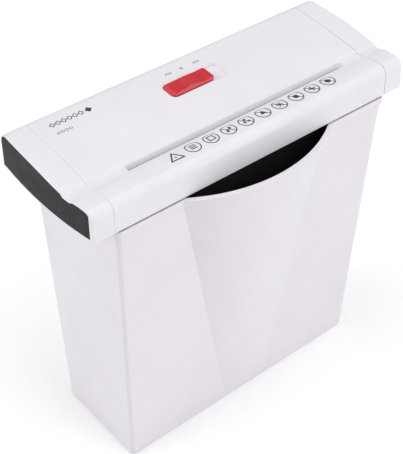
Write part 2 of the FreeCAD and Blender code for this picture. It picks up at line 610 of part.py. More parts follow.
def tie_rods():
    """Rods with turned-down ends and nuts that hold the two plates apart."""
    rods = []
    for y, z in RODS:
        rods.append(joined([rod_x(LEFT_PLATE_X + PLATE, RIGHT_PLATE_X, y, z, ROD_R),
                            rod_x(LEFT_PLATE_X - 1.2, RIGHT_PLATE_X + PLATE + 1.0, y, z, 1.65)]))
    return group(rods)


def shaft_bushes():
    bushes = []
    for y in (FRONT_Y, REAR_Y):
        for inner, outer in ((LEFT_PLATE_X + PLATE + 0.3, LEFT_PLATE_X - 1.0),
                             (RIGHT_PLATE_X - 0.3, RIGHT_PLATE_X + PLATE + 0.8)):
            low, high = min(inner, outer), max(inner, outer)
            sleeve = rod_x(low, high, y, CUTTER_Z, BUSH_R - 0.02)
            edge = LEFT_PLATE_X if outer < 0 else RIGHT_PLATE_X + PLATE
            flange = rod_x(min(edge, outer), max(edge, outer), y, CUTTER_Z, BUSH_R + 1.2)
            bore = rod_x(low - 1, high + 1, y, CUTTER_Z, SHAFT_R + RUNNING)
            bushes.append(joined([sleeve, flange]).cut(bore))
    return group(bushes)


def front_disc_places():
    return [FIRST_FRONT_DISC_X + i * DISC_PITCH for i in range(DISC_COUNT)]


def rear_disc_places():
    return [x + DISC_PITCH / 2 for x in front_disc_places()]


def stripper_comb(shaft_y, finger_places, side):
    """A bar with fingers that fork around the spacers. Side is -1 in front and 1 behind."""
    def span(a, b):
        ends = sorted((shaft_y + side * a, shaft_y + side * b))
        return ends[0], ends[1]
    bar = block(LEFT_PLATE_X + 4, RIGHT_PLATE_X - 1, *span(7.0, 12.9), 228.6, 234.5)
    fingers = []
    for x in finger_places:
        finger = block(x - 2.4, x + 2.4, *span(0.5, 12.9), 233.5, CUTTER_Z + 9)
        fingers.append(finger.cut(rod_x(x - 4, x + 4, shaft_y, CUTTER_Z, SPACER_R + 0.4)))
    comb = joined([bar] + fingers)
    return comb.cut(rod_x(LEFT_PLATE_X, RIGHT_PLATE_X, shaft_y + side * 10.0, 231.6, ROD_R + 0.05))


def front_stripper_comb():
    return stripper_comb(FRONT_Y, rear_disc_places()[:-1], -1)


def rear_stripper_comb():
    return stripper_comb(REAR_Y, front_disc_places()[1:], 1)


# ============================================ gears
def involute(roll):
    return math.tan(roll) - roll


def flank_points(teeth, module, thinning):
    """Radius and half angle of points up one side of a tooth, from its root to its tip."""
    pitch_r = module * teeth / 2
    base_r = pitch_r * math.cos(PRESSURE_ANGLE)
    root_r, tip_r = pitch_r - 1.15 * module, pitch_r + 0.9 * module
    half = math.pi / (2 * teeth) - thinning / pitch_r + involute(PRESSURE_ANGLE)
    start = max(base_r, root_r)
    points = [] if start == root_r else [(root_r, half)]
    for i in range(FLANK_STEPS):
        radius = start + (tip_r - start) * i / (FLANK_STEPS - 1)
        points.append((radius, half - involute(math.acos(min(1.0, base_r / radius)))))
    return points


def flank_edges(points):
    """Edges along one side of a tooth, root first: any straight foot, then the curved face."""
    has_foot = len(points) > FLANK_STEPS
    face = Part.BSplineCurve()
    face.interpolate(points[1:] if has_foot else points)
    return ([Part.makeLine(points[0], points[1])] if has_foot else []) + [face.toShape()]


def gear(teeth, module, y, z, x0, x1, phase, thinning=0.06):
    """A spur gear on an axis along X, with one tooth centred at the phase angle in radians."""
    side = flank_points(teeth, module, thinning)

    def spot(radius, angle):
        return V(x0, y + radius * math.cos(angle), z + radius * math.sin(angle))
    edges = []
    pitch = 2 * math.pi / teeth
    root_r, root_half = side[0]
    tip_r, _ = side[-1]
    for i in range(teeth):
        centre = phase + i * pitch
        rising = [spot(r, centre - a) for r, a in side]
        falling = [spot(r, centre + a) for r, a in side]
        edges += flank_edges(rising) + flank_edges(falling)
        edges.append(Part.Arc(rising[-1], spot(tip_r, centre), falling[-1]).toShape())
        next_root = spot(root_r, centre + pitch - root_half)
        edges.append(Part.Arc(falling[0], spot(root_r, centre + pitch / 2), next_root).toShape())
    ring = Part.Wire(Part.__sortEdges__(edges))
    return Part.Face(ring).extrude(V(x1 - x0, 0, 0))


def meshed_phase(phase, teeth, other_teeth, direction):
    """Phase of a gear that meshes with another one which lies in a direction (degrees) from it."""
    line = math.radians(direction)
    offset = phase - line
    return line + math.pi - offset * teeth / other_teeth + math.pi / other_teeth


DRIVE_PHASE = 0.0
TWO_PINION_PHASE = meshed_phase(DRIVE_PHASE, DRIVE_TEETH, TWO_PINION_TEETH, TWO_ANGLE)
TWO_WHEEL_PHASE = 0.0
ONE_PINION_PHASE = meshed_phase(TWO_WHEEL_PHASE, TWO_WHEEL_TEETH, ONE_PINION_TEETH, ONE_ANGLE)
ONE_WHEEL_PHASE = 0.0
MOTOR_PHASE = meshed_phase(ONE_WHEEL_PHASE, ONE_WHEEL_TEETH, MOTOR_TEETH, MOTOR_ANGLE)
REAR_SYNC_PHASE = 0.0
FRONT_SYNC_PHASE = meshed_phase(REAR_SYNC_PHASE, SYNC_TEETH, SYNC_TEETH, 180.0)


def drive_gear():
    wheel = gear(DRIVE_TEETH, DRIVE_MODULE, REAR_Y, CUTTER_Z, *LAYER_A, DRIVE_PHASE)
    wheel = wheel.cut(ring_x(LAYER_A[0] - 1, LAYER_A[0] + 1.6, REAR_Y, CUTTER_Z, 18.5, 8.5))
    return wheel.cut(rod_x(-130, -110, REAR_Y, CUTTER_Z, SHAFT_R))


def sync_gear(y, phase):
    wheel = gear(SYNC_TEETH, SYNC_MODULE, y, CUTTER_Z, *SYNC_LAYER, phase)
    return wheel.cut(rod_x(120, 135, y, CUTTER_Z, SHAFT_R))


def compound_gear_two():
    wheel = gear(TWO_WHEEL_TEETH, MIDDLE_MODULE, TWO_Y, TWO_Z, *LAYER_B, TWO_WHEEL_PHASE)
    wheel = wheel.cut(ring_x(LAYER_B[0] - 1, LAYER_B[0] + 1.5, TWO_Y, TWO_Z, 16.5, 7.0))
    pinion = gear(TWO_PINION_TEETH, DRIVE_MODULE, TWO_Y, TWO_Z, LAYER_A[0] - 1.2, LAYER_A[1],
                  TWO_PINION_PHASE)
    return joined([wheel, pinion]).cut(rod_x(-130, -110, TWO_Y, TWO_Z, PIN_R + RUNNING))


def compound_gear_one():
    wheel = gear(ONE_WHEEL_TEETH, FAST_MODULE, ONE_Y, ONE_Z, *LAYER_A, ONE_WHEEL_PHASE)
    wheel = wheel.cut(ring_x(LAYER_A[1] - 1.5, LAYER_A[1] + 1, ONE_Y, ONE_Z, 12.5, 6.0))
    pinion = gear(ONE_PINION_TEETH, MIDDLE_MODULE, ONE_Y, ONE_Z, LAYER_B[0], LAYER_A[0] + 0.2,
                  ONE_PINION_PHASE)
    return joined([wheel, pinion]).cut(rod_x(-130, -110, ONE_Y, ONE_Z, PIN_R + RUNNING))


def motor_pinion():
    wheel = gear(MOTOR_TEETH, FAST_MODULE, MOTOR_Y, MOTOR_Z, *LAYER_A, MOTOR_PHASE)
    return wheel.cut(rod_x(-130, -110, MOTOR_Y, MOTOR_Z, MOTOR_SHAFT_R))


def idler_pins():
    axes = ((ONE_Y, ONE_Z), (TWO_Y, TWO_Z))
    return group([rod_x(GEAR_COVER_X + 1.2, LEFT_PLATE_X + PLATE, y, z, PIN_R) for y, z in axes])


# ============================================ outer plate over the gear train

def gear_cover():
    face = side_prism([(2, FLOOR_Z + 1, 4), (57, FLOOR_Z + 1, 4), (57, 283, 8), (30, 289, 8), (2, 282, 6)],
                      GEAR_COVER_X, GEAR_COVER_X + 1.2)
    for y, z in ((ONE_Y, ONE_Z), (TWO_Y, TWO_Z)):
        face = face.cut(rod_x(-135, -120, y, z, PIN_R))
    for y, z in POSTS:
        face = face.cut(rod_x(-135, -120, y, z, 1.6))
    return face


def gear_cover_posts():
    posts = []
    for y, z in POSTS:
        posts.append(joined([rod_x(GEAR_COVER_X + 1.2, LEFT_PLATE_X, y, z, 2.4),
                             rod_x(GEAR_COVER_X, LEFT_PLATE_X + PLATE, y, z, 1.6)]))
    return group(posts)


# ============================================ cutter shafts
def hexagon(y, z, across, x0, x1):
    reach = across / math.sqrt(3)
    corners = [(y + reach * math.cos(math.radians(60 * i)), z + reach * math.sin(math.radians(60 * i)), 0)
               for i in range(6)]
    return side_prism(corners, x0, x1)


def cutter_shaft(y, left_end):
    right_end = SYNC_LAYER[1] + 0.6
    middle = hexagon(y, CUTTER_Z, 2 * SHAFT_R + 0.8, LEFT_PLATE_X + PLATE + 0.9, RIGHT_PLATE_X - 0.9)
    return joined([middle, rod_x(left_end, right_end, y, CUTTER_Z, SHAFT_R)])


def cutting_disc(x, y, start):
    """A disc with six bite notches in its rim and a hexagonal bore."""
    disc = rod_x(x - DISC_WIDTH / 2, x + DISC_WIDTH / 2, y, CUTTER_Z, DISC_R)
    for i in range(6):
        notch = side_prism([(DISC_R - 1.3, -0.2, 0), (DISC_R + 1, -1.3, 0), (DISC_R + 1, 1.1, 0)],
                           x - DISC_WIDTH, x + DISC_WIDTH)
        notch.rotate(V(0, 0, 0), V(1, 0, 0), start + 60 * i)
        notch.translate(V(0, y, CUTTER_Z))
        disc = disc.cut(notch)
    return disc.cut(hexagon(y, CUTTER_Z, 2 * SHAFT_R + 0.86, x - DISC_WIDTH, x + DISC_WIDTH))


def cutter_discs(y, places):
    discs = []
    pattern = cutting_disc(0, y, 0)
    turned = cutting_disc(0, y, 30)
    for i, x in enumerate(places):
        disc = (pattern if i % 2 else turned).copy()
        disc.translate(V(x, 0, 0))
        discs.append(disc)
    return group(discs)


def spacer(x0, x1, y):
    return rod_x(x0, x1, y, CUTTER_Z, SPACER_R).cut(hexagon(y, CUTTER_Z, 2 * SHAFT_R + 0.86, x0 - 1, x1 + 1))


def cutter_spacers(y, places):
    half = DISC_WIDTH / 2
    edges = [LEFT_PLATE_X + PLATE + 1.0]
    for x in places:
        edges += [x - half, x + half]
    edges.append(RIGHT_PLATE_X - 1.0)
    return group([spacer(edges[i] + 0.02, edges[i + 1] - 0.02, y) for i in range(0, len(edges), 2)])


# ============================================ motor
def motor_screw_spots():
    return [along(MOTOR_Y, MOTOR_Z, 11.5, angle) for angle in (200.0, 20.0)]


def motor_can():
    can = ring_x(MOTOR_FRONT_X, MOTOR_BACK_X, MOTOR_Y, MOTOR_Z, MOTOR_R, MOTOR_R - 1.2)
    return can


def motor_front_bell():
    x0 = LEFT_PLATE_X + PLATE
    bell = joined([rod_x(x0, MOTOR_FRONT_X, MOTOR_Y, MOTOR_Z, MOTOR_R),
                   rod_x(x0 - PLATE, x0, MOTOR_Y, MOTOR_Z, 5.0)])
    bell = bell.cut(rod_x(x0 - 5, MOTOR_FRONT_X + 1, MOTOR_Y, MOTOR_Z, MOTOR_SHAFT_R + RUNNING))
    for y, z in motor_screw_spots():
        bell = bell.cut(rod_x(x0 - 1, x0 + 3.2, y, z, 1.3))
    return bell


def motor_rear_bell():
    x0, x1 = MOTOR_BACK_X, MOTOR_BACK_X + 3.5
    bell = joined([rod_x(x0, x1, MOTOR_Y, MOTOR_Z, MOTOR_R), rod_x(x1, x1 + 2.5, MOTOR_Y, MOTOR_Z, 5.0)])
    for i in range(6):
        vent_y, vent_z = along(MOTOR_Y, MOTOR_Z, 11.5, 60 * i + 30)
        bell = bell.cut(rod_x(x0 - 1, x1 + 1, vent_y, vent_z, 2.6))
    return bell.cut(rod_x(x0 - 1, x1 + 4, MOTOR_Y, MOTOR_Z, MOTOR_SHAFT_R + RUNNING))


def motor_magnets():
    """Two curved magnets inside the can."""
    shell = ring_x(MOTOR_FRONT_X + 6, MOTOR_BACK_X - 10, MOTOR_Y, MOTOR_Z, MOTOR_R - 1.3, MOTOR_R - 4.6)
    keep = 11.5
    upper = block(-120, -40, MOTOR_Y - 30, MOTOR_Y + 30, MOTOR_Z + MOTOR_R - keep, MOTOR_Z + 30)
    lower = block(-120, -40, MOTOR_Y - 30, MOTOR_Y + 30, MOTOR_Z - 30, MOTOR_Z - MOTOR_R + keep)
    return group([shell.common(upper), shell.common(lower)])


def motor_screws():
    screws = []
    for y, z in motor_screw_spots():
        screws.append(joined([rod_x(LEFT_PLATE_X, LEFT_PLATE_X + PLATE + 3, y, z, 1.25),
                              rod_x(LEFT_PLATE_X - 1.1, LEFT_PLATE_X, y, z, 2.6)]))
    return group(screws)


def motor_brushes():
    """Two carbon brushes in their holders, either side of the commutator."""
    brushes = []
    for side in (-1, 1):
        ends = sorted((MOTOR_Y + side * 4.8, MOTOR_Y + side * 12))
        brushes.append(block(BRUSH_X - 2, BRUSH_X + 2, ends[0], ends[1], MOTOR_Z - 1.6, MOTOR_Z + 1.6))
    return group(brushes)


def motor_shaft():
    return rod_x(LAYER_A[0] - 0.6, FAN_X + 8, MOTOR_Y, MOTOR_Z, MOTOR_SHAFT_R)


def armature_core():
    """Laminated core with open slots for the windings."""
    core = rod_x(*ARMATURE_SPAN, MOTOR_Y, MOTOR_Z, ARMATURE_R)
    for i in range(SLOTS):
        turn = 360.0 * i / SLOTS
        slot_y, slot_z = along(MOTOR_Y, MOTOR_Z, 8.4, turn)
        core = core.cut(rod_x(-120, -40, slot_y, slot_z, 2.1))
        mouth = block(-120, -40, 8.4, 14, -0.7, 0.7)
        mouth.rotate(V(0, 0, 0), V(1, 0, 0), turn)
        mouth.translate(V(0, MOTOR_Y, MOTOR_Z))
        core = core.cut(mouth)
    return core.cut(rod_x(-120, -40, MOTOR_Y, MOTOR_Z, MOTOR_SHAFT_R))


def armature_windings():
    """Copper bundles in the slots, with a rounded end turn at each end."""
    bundles = []
    for i in range(SLOTS):
        slot_y, slot_z = along(MOTOR_Y, MOTOR_Z, 8.4, 360.0 * i / SLOTS)
        bundles.append(rod_x(ARMATURE_SPAN[0] - 0.5, ARMATURE_SPAN[1] + 0.5, slot_y, slot_z, 2.0))
    ends = [ring_x(ARMATURE_SPAN[0] - 3.4, ARMATURE_SPAN[0] - 0.1, MOTOR_Y, MOTOR_Z, 10.8, 3.2),
            ring_x(ARMATURE_SPAN[1] + 0.1, ARMATURE_SPAN[1] + 3.4, MOTOR_Y, MOTOR_Z, 10.8, 3.2)]
    return joined(bundles + ends)


def commutator():
    ring = ring_x(BRUSH_X - 3.5, BRUSH_X + 3.5, MOTOR_Y, MOTOR_Z, 4.4, MOTOR_SHAFT_R)
    for i in range(SLOTS):
        gap = block(BRUSH_X - 4, BRUSH_X + 4, 3.6, 5, -0.2, 0.2)
        gap.rotate(V(0, 0, 0), V(1, 0, 0), 360.0 * (i + 0.5) / SLOTS)
        gap.translate(V(0, MOTOR_Y, MOTOR_Z))
        ring = ring.cut(gap)
    return ring


def cooling_fan():
    hub = rod_x(FAN_X, FAN_X + 6.5, MOTOR_Y, MOTOR_Z, 4.5)
    plate = rod_x(FAN_X, FAN_X + 1.0, MOTOR_Y, MOTOR_Z, 15.5)
    blades = []
    for i in range(9):
        blade = block(FAN_X + 0.5, FAN_X + 6.5, 4.0, 15.5, -0.5, 0.5)
        blade.rotate(V(0, 0, 0), V(1, 0, 0), 40.0 * i)
        blade.translate(V(0, MOTOR_Y, MOTOR_Z))
        blades.append(blade)
    return joined([hub, plate] + blades).cut(rod_x(FAN_X - 1, FAN_X + 8, MOTOR_Y, MOTOR_Z, MOTOR_SHAFT_R))


# ============================================ circuit board and electrical parts


def board_corner_spots():
    x0, x1, y0, y1 = BOARD
    return [(x0 + 4, y0 + 4), (x1 - 4, y0 + 4), (x1 - 4, y1 - 4), (x0 + 4, y1 - 4)]


def board_posts():
    posts = []
    for x, y in board_corner_spots():
        posts.append(joined([rod_z(FLOOR_Z - 0.5, BOARD_Z, x, y, 3.0),
                             rod_z(BOARD_Z - 0.5, BOARD_Z + 3.2, x, y, 1.3)]))
    return posts


def circuit_board():
    x0, x1, y0, y1 = BOARD
    board = plan_prism([(x0, y0, 2), (x1, y0, 2), (x1, y1, 2), (x0, y1, 2)], BOARD_Z + 0.05, BOARD_Z + 1.65)
    for x, y in board_corner_spots():
        board = board.cut(rod_z(BOARD_Z - 1, BOARD_Z + 3, x, y, 1.4))
    return board


def on_board():
    return BOARD_Z + 1.7


def relay():
    z = on_board()
    body = plan_prism([(12, 22, 0.8), (31, 22, 0.8), (31, 37, 0.8), (12, 37, 0.8)], z, z + 15.5)
    return body.makeFillet(0.6, [e for e in body.Edges if e.BoundBox.ZMin > z + 15])


def capacitor():
    z = on_board()
    can = rod_z(z, z + 20, 44, 30, 6.4)
    return can.makeFillet(0.7, can.Edges[:1]).cut(joined([block(40, 48, 29.8, 30.2, z + 19.6, z + 21),
                                                          block(43.8, 44.2, 26, 34, z + 19.6, z + 21)]))


def bridge_rectifier():
    """Flat upright case on four legs."""
    z = on_board()
    legs = [block(56.5 + 5.2 * i, 57.5 + 5.2 * i, 41.8, 42.7, z, z + 3) for i in range(4)]
    return joined([block(56, 74, 40, 44.5, z + 2, z + 17)] + legs)


def terminal_block():
    z = on_board()
    body = side_prism([(20, z, 0), (29, z, 0), (29, z + 6, 0.5), (26.5, z + 10, 0.5), (20, z + 10, 0.5)],
                      60, 85)
    for i in range(5):
        body = body.cut(rod_z(z + 5, z + 12, 62.5 + 5 * i, 23, 1.7))
        body = body.cut(block(61 + 5 * i, 64 + 5 * i, 27, 30, z + 1.5, z + 5))
    return body


def fuse_link():
    z = on_board() + 4
    glass = rod_x(16, 26, 44, z, 2.3)
    ends = [rod_x(12, 17, 44, z, 2.6), rod_x(25, 30, 44, z, 2.6)]
    clips = [block(13, 16, 42, 46, on_board(), z - 1.5), block(26, 29, 42, 46, on_board(), z - 1.5)]
    return joined([glass] + ends + clips)


# ============================================ switches
def slide_switch():
    """Three-position switch body hung below the carrier."""
    body = block(-17, 17, -6.5, 6.5, -15.5, -7.0)
    ears = [plan_prism([(x - 4.5, -4.5, 2), (x + 4.5, -4.5, 2), (x + 4.5, 4.5, 2), (x - 4.5, 4.5, 2)],
                       -9.0, -7.05)
            for x in (-20.5, 20.5)]
    body = joined([body] + ears).cut(block(-9.5, 8.5, -2.2, 2.2, -11.5, -6))
    for i in range(6):
        body = body.fuse(block(-13 + 5 * i, -11.6 + 5 * i, -0.4, 0.4, -19.5, -15.4))
    return on_slope(body.removeSplitter())


def auto_switch_ledge():
    """A ledge behind the throat that carries the paper lever's switch."""
    return block(AUTO_X - 4, AUTO_X + 12, SLOT_Y1 + THROAT_WALL - 0.5, 9.0, 274.2, 275.8)


def micro_switch(x0, y0, z0):
    """A small snap switch, 13 mm long, with its button on top and three legs below."""
    body = block(x0, x0 + 13, y0, y0 + 6, z0, z0 + 6.5)
    button = block(x0 + 3, x0 + 5, y0 + 2, y0 + 4, z0 + 6, z0 + 7.2)
    return joined([body, button])


def auto_start_switch():
    return micro_switch(SLOT_MID_X - 4.0, 0.8, 275.9)


def interlock_switch():
    x0 = PLUNGER_X - 4.0
    body = block(x0, x0 + 10, PLUNGER_Y - 3.0, PLUNGER_Y + 3.5, 285.6, 291.5)
    button = block(PLUNGER_X - 1, PLUNGER_X + 1, PLUNGER_Y - 1, PLUNGER_Y + 1, 284.6, 286)
    return joined([body, button])


def interlock_plunger():
    """Rod pushed up by the bin's lug, with a collar for its spring."""
    stem = rod_z(LUG_TOP_Z + 0.35, 284.2, PLUNGER_X, PLUNGER_Y, 2.4)
    collar = rod_z(275.9, 277.1, PLUNGER_X, PLUNGER_Y, 3.5)
    foot = rod_z(LUG_TOP_Z + 0.35, LUG_TOP_Z + 2, PLUNGER_X, PLUNGER_Y, 2.6)
    return joined([stem, collar, foot])


def plunger_spring():
    spring = coil(3.0, 0.3, 5, 0.8)
    spring.translate(V(PLUNGER_X, PLUNGER_Y, 277.5))
    return spring


# ============================================ paper lever
def paper_lever():
    """Flag across the throat with a tail that rests on its switch."""
    flag = side_prism([(-1.6, 1.6, 1.4), (2.4, 1.6, 0.8), (8.8, -3.0, 0.6), (8.2, -4.6, 0.6),
                       (1.5, -2.6, 0.6), (-3.5, -5.0, 1),
                       (-12.4, -18.3, 1.0), (-14.4, -17.0, 1.2)],
                      SLOT_MID_X - 1.5, SLOT_MID_X + 1.5)
    hub = rod_x(SLOT_MID_X - 2.3, SLOT_MID_X + 2.3, 0, 0, 2.6)
    lever = joined([flag, hub]).cut(rod_x(SLOT_MID_X - 5, SLOT_MID_X + 5, 0, 0, 1.5))
    lever.translate(V(0, LEVER_Y, LEVER_Z))
    return lever


def lever_pin():
    return rod_x(SLOT_MID_X - 5.4, SLOT_MID_X + 8.6, LEVER_Y, LEVER_Z, 1.5)


def lever_spring():
    """Torsion spring around the free end of the lever's pin."""
    spring = coil(2.2, 0.25, 4, 0.6)
    spring.rotate(V(0, 0, 0), V(0, 1, 0), 90)
    spring.translate(V(SLOT_MID_X + 7.8, LEVER_Y, LEVER_Z))
    return spring


# ============================================ slide button
def slider_button():
    """Thumb button: a ribbed low end, a ridge, and a ribbed finger dish with rounded corners."""
    x0, x1, half = BUTTON_X0, BUTTON_X1, BUTTON_HALF
    side = [(x0, -RECESS_DEPTH + 0.3, 0.3), (x1, -RECESS_DEPTH + 0.3, 0.3), (x1, 1.6, 1.2),
            (x1 - 3.5, 2.6, 2.5), (x1 - 11.0, 1.7, 14), (x0 + 19.5, 3.4, 1.0),
            (x0 + 15.0, 2.6, 1.0), (x0 + 3.5, 1.9, 2.0), (x0, 0.7, 1.2)]
    body = front_prism(side, -half, half)
    across = side_prism([(-half, -RECESS_DEPTH, 0), (half, -RECESS_DEPTH, 0), (half, 0.6, 1.0),
                         (half - 2.6, 4.4, 1.0), (-half + 2.6, 4.4, 1.0), (-half, 0.6, 1.0)], x0 - 1, x1 + 1)
    corners = plan_prism([(x0, -half, BUTTON_CORNER), (x1, -half, BUTTON_CORNER), (x1, half, BUTTON_CORNER),
                          (x0, half, BUTTON_CORNER)], -3, 7)
    body = body.common(across).common(corners)
    ribs = []
    for i in range(5):
        x = x0 + 4.4 + RIB_PITCH * i
        ribs.append(block(x - 0.5, x + 0.5, -half + 2.4, half - 2.4, 1.0, 2.3 + 0.14 * i))
    for i in range(7):
        x = x1 - 17.0 + RIB_PITCH * i
        ribs.append(block(x - 0.45, x + 0.45, -half + 2.6, half - 2.6, 1.0, 2.25 + 0.055 * (i - 2.8) ** 2))
    return on_slope(joined([body] + ribs))


def slider_carrier():
    """Black plate below the cover that joins the button to the switch."""
    plate = plan_prism([(-17, -4.5, 1), (3, -4.5, 1), (3, 4.5, 1), (-17, 4.5, 1)], -6.6, -4.6)
    stem = block(-12.2, 0.2, -2.6, 2.6, -5, -RECESS_DEPTH + 0.28)
    pin = block(-8.6, -6.2, -1.6, 1.6, -11, -6)
    return on_slope(joined([plate, stem, pin]))


# ============================================ cord gland


def cord_gland():
    """Rubber gland in the back wall, with the bore for the mains cord."""
    wall_y = back_wall_y(GLAND_Z)
    body = rod_y(wall_y - 9, wall_y + 3.5, GLAND_X, GLAND_Z, GLAND_R)
    inner_flange = rod_y(wall_y - 9, wall_y - 7, GLAND_X, GLAND_Z, GLAND_R + 2.4)
    gland = joined([body, inner_flange])
    return gland.cut(rod_y(wall_y - 12, wall_y + 6, GLAND_X, GLAND_Z, CORD_R))


# ============================================ all the pieces
PIECES = {
    "waste_bin": waste_bin,
    "top_cover": top_cover,
    "right_end_cap": end_cap,
    "left_end_cap": lambda: mirrored(end_cap()),
    "right_end_panel": end_panel,
    "left_end_panel": lambda: mirrored(end_panel()),
    "lower_housing": lower_housing,
    "cover_screws": cover_screws,
    "plate_screws": plate_screws,
    "left_side_plate": left_side_plate,
    "right_side_plate": right_side_plate,
    "tie_rods": tie_rods,
    "shaft_bushes": shaft_bushes,
    "front_stripper_comb": front_stripper_comb,
    "rear_stripper_comb": rear_stripper_comb,
    "idler_pins": idler_pins,
    "gear_cover": gear_cover,
    "gear_cover_posts": gear_cover_posts,
    "motor_can": motor_can,
    "motor_front_bell": motor_front_bell,
    "motor_rear_bell": motor_rear_bell,
    "motor_magnets": motor_magnets,
    "motor_brushes": motor_brushes,
    "motor_screws": motor_screws,
    "circuit_board": circuit_board,
    "relay": relay,
    "capacitor": capacitor,
    "bridge_rectifier": bridge_rectifier,
    "terminal_block": terminal_block,
    "fuse_link": fuse_link,
    "slide_switch": slide_switch,
    "auto_start_switch": auto_start_switch,
    "interlock_switch": interlock_switch,
    "lever_spring": lever_spring,
    "cord_gland": cord_gland,
    "slider_button": slider_button,
    "slider_carrier": slider_carrier,
    "paper_lever": paper_lever,
    "lever_pin": lever_pin,
    "interlock_plunger": interlock_plunger,
    "plunger_spring": plunger_spring,
    "front_shaft": lambda: cutter_shaft(FRONT_Y, LEFT_PLATE_X - 1.2),
    "front_discs": lambda: cutter_discs(FRONT_Y, front_disc_places()),
    "front_spacers": lambda: cutter_spacers(FRONT_Y, front_disc_places()),
    "front_sync_gear": lambda: sync_gear(FRONT_Y, FRONT_SYNC_PHASE),
    "rear_shaft": lambda: cutter_shaft(REAR_Y, LAYER_A[0] - 0.5),
    "rear_discs": lambda: cutter_discs(REAR_Y, rear_disc_places()),
    "rear_spacers": lambda: cutter_spacers(REAR_Y, rear_disc_places()),
    "rear_sync_gear": lambda: sync_gear(REAR_Y, REAR_SYNC_PHASE),
    "drive_gear": drive_gear,
    "compound_gear_one": compound_gear_one,
    "compound_gear_two": compound_gear_two,
    "motor_shaft": motor_shaft,
    "armature_core": armature_core,
    "armature_windings": armature_windings,
    "commutator": commutator,
    "motor_pinion": motor_pinion,
    "cooling_fan": cooling_fan,
}

os.makedirs("parts", exist_ok=True)
for name, make in PIECES.items():
    shape = make()
    box = shape.BoundBox
    print(f"{name:20s} solids {len(shape.Solids):3d} valid {shape.isValid()} volume {shape.Volume:10.1f} "
          f"box {box.XMin:.2f} {box.XMax:.2f} {box.YMin:.2f} {box.YMax:.2f} {box.ZMin:.2f} {box.ZMax:.2f}")
    shape.exportStep(f"parts/{name}.step")
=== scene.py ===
"""Looks for the paper shredder: moulded plastics, metals, printed marks, light and camera.

Every length is in metres, in the frame of the CAD model: x to the right, y to the back, z up.
"""

import math

import bmesh
import bpy
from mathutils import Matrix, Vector


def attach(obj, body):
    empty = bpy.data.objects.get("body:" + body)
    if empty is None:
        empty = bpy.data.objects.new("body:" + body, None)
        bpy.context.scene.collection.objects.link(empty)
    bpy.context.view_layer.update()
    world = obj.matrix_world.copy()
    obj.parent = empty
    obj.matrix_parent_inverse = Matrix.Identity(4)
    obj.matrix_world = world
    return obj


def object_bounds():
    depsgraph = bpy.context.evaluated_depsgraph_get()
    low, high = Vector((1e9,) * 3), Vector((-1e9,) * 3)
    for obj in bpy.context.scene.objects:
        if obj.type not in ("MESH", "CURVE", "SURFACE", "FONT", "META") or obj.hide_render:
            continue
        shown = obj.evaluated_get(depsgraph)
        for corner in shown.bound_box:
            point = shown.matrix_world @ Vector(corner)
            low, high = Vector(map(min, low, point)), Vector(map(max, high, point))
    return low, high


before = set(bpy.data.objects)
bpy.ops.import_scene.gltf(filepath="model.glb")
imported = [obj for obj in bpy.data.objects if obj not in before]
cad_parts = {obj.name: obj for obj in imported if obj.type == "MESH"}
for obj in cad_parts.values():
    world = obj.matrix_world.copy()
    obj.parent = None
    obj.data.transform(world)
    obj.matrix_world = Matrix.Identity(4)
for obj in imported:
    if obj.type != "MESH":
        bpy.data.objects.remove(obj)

MM = 0.001

# Camera
CAMERA_PLACE = (-0.4787, -0.55175, 0.7942)
CAMERA_AZIMUTH = 39.70
CAMERA_DIP = 40.44
CAMERA_LENS = 89.4
CAMERA_SENSOR = 36.0

# Studio light. A strength is how bright a white card facing the light would look.
WORLD_STRENGTH = 0.25
OVERHEAD = dict(azimuth=-60, height=84, distance=3.0, size=3.2, strength=0.72)
LEFT_BOX = dict(azimuth=120, height=24, distance=2.4, size=2.0, strength=0.48)
RIGHT_BOX = dict(azimuth=-20, height=24, distance=2.4, size=2.0, strength=0.43)

FLOOR_GLOW = 0.12
FLOOR_HALF = 6.0

# Printed marks on the cover. Ink reaches a little over the surface and a little into it.
INK_ABOVE = 0.03 * MM
INK_BELOW = 0.03 * MM
INK_STEP = 1.0 * MM
RING_PITCH = 17.45 * MM
RING_FIRST_X = -52.4 * MM
RING_Y = -28.4 * MM
RING_RADIUS = 6.2 * MM
RING_LINE = 0.9 * MM
GLYPH_LINE = 0.8 * MM
GLYPHS = ("sheets", "frame", "blocks", "dots", "wedge", "star", "disc", "cross", "diamond")
TRIANGLE = [(-77.0 * MM, -33.9 * MM), (-63.6 * MM, -34.1 * MM), (-70.2 * MM, -23.0 * MM)]
TRIANGLE_HOLE = 0.68
TRIANGLE_DOT = 0.8 * MM
LEGEND_Y = 52.4 * MM
LEGEND_FORWARD_X = -11.6 * MM
LEGEND_OFF_X = 1.6 * MM
LEGEND_BACK_X = 16.6 * MM
LEGEND_HEIGHT = 2.0 * MM
LEGEND_LINE = 0.6 * MM
CHEVRON_ANGLE = 50
EMBLEM_FIRST_X, EMBLEM_PITCH, EMBLEM_COUNT = -122.4 * MM, 5.2 * MM, 6
EMBLEM_Y, EMBLEM_RADIUS, EMBLEM_LINE = 52.6 * MM, 2.2 * MM, 1.0 * MM
EMBLEM_END_X, EMBLEM_END_RADIUS = -89.4 * MM, 3.2 * MM
UNDERLINE_FIRST_X, UNDERLINE_PITCH, UNDERLINE_COUNT = -123.6 * MM, 3.6 * MM, 4
UNDERLINE_Y, UNDERLINE_RADIUS, UNDERLINE_LINE = 42.0 * MM, 1.4 * MM, 0.6 * MM


# ---------------------------------------------------------------- materials

def blank_material(name):
    """A node material and the nodes that every finish starts from."""
    material = bpy.data.materials.new(name)
    material.use_nodes = True
    tree = material.node_tree
    shader = tree.nodes["Principled BSDF"]
    place = tree.nodes.new("ShaderNodeTexCoord")
    return material, tree, shader, place.outputs["Object"]


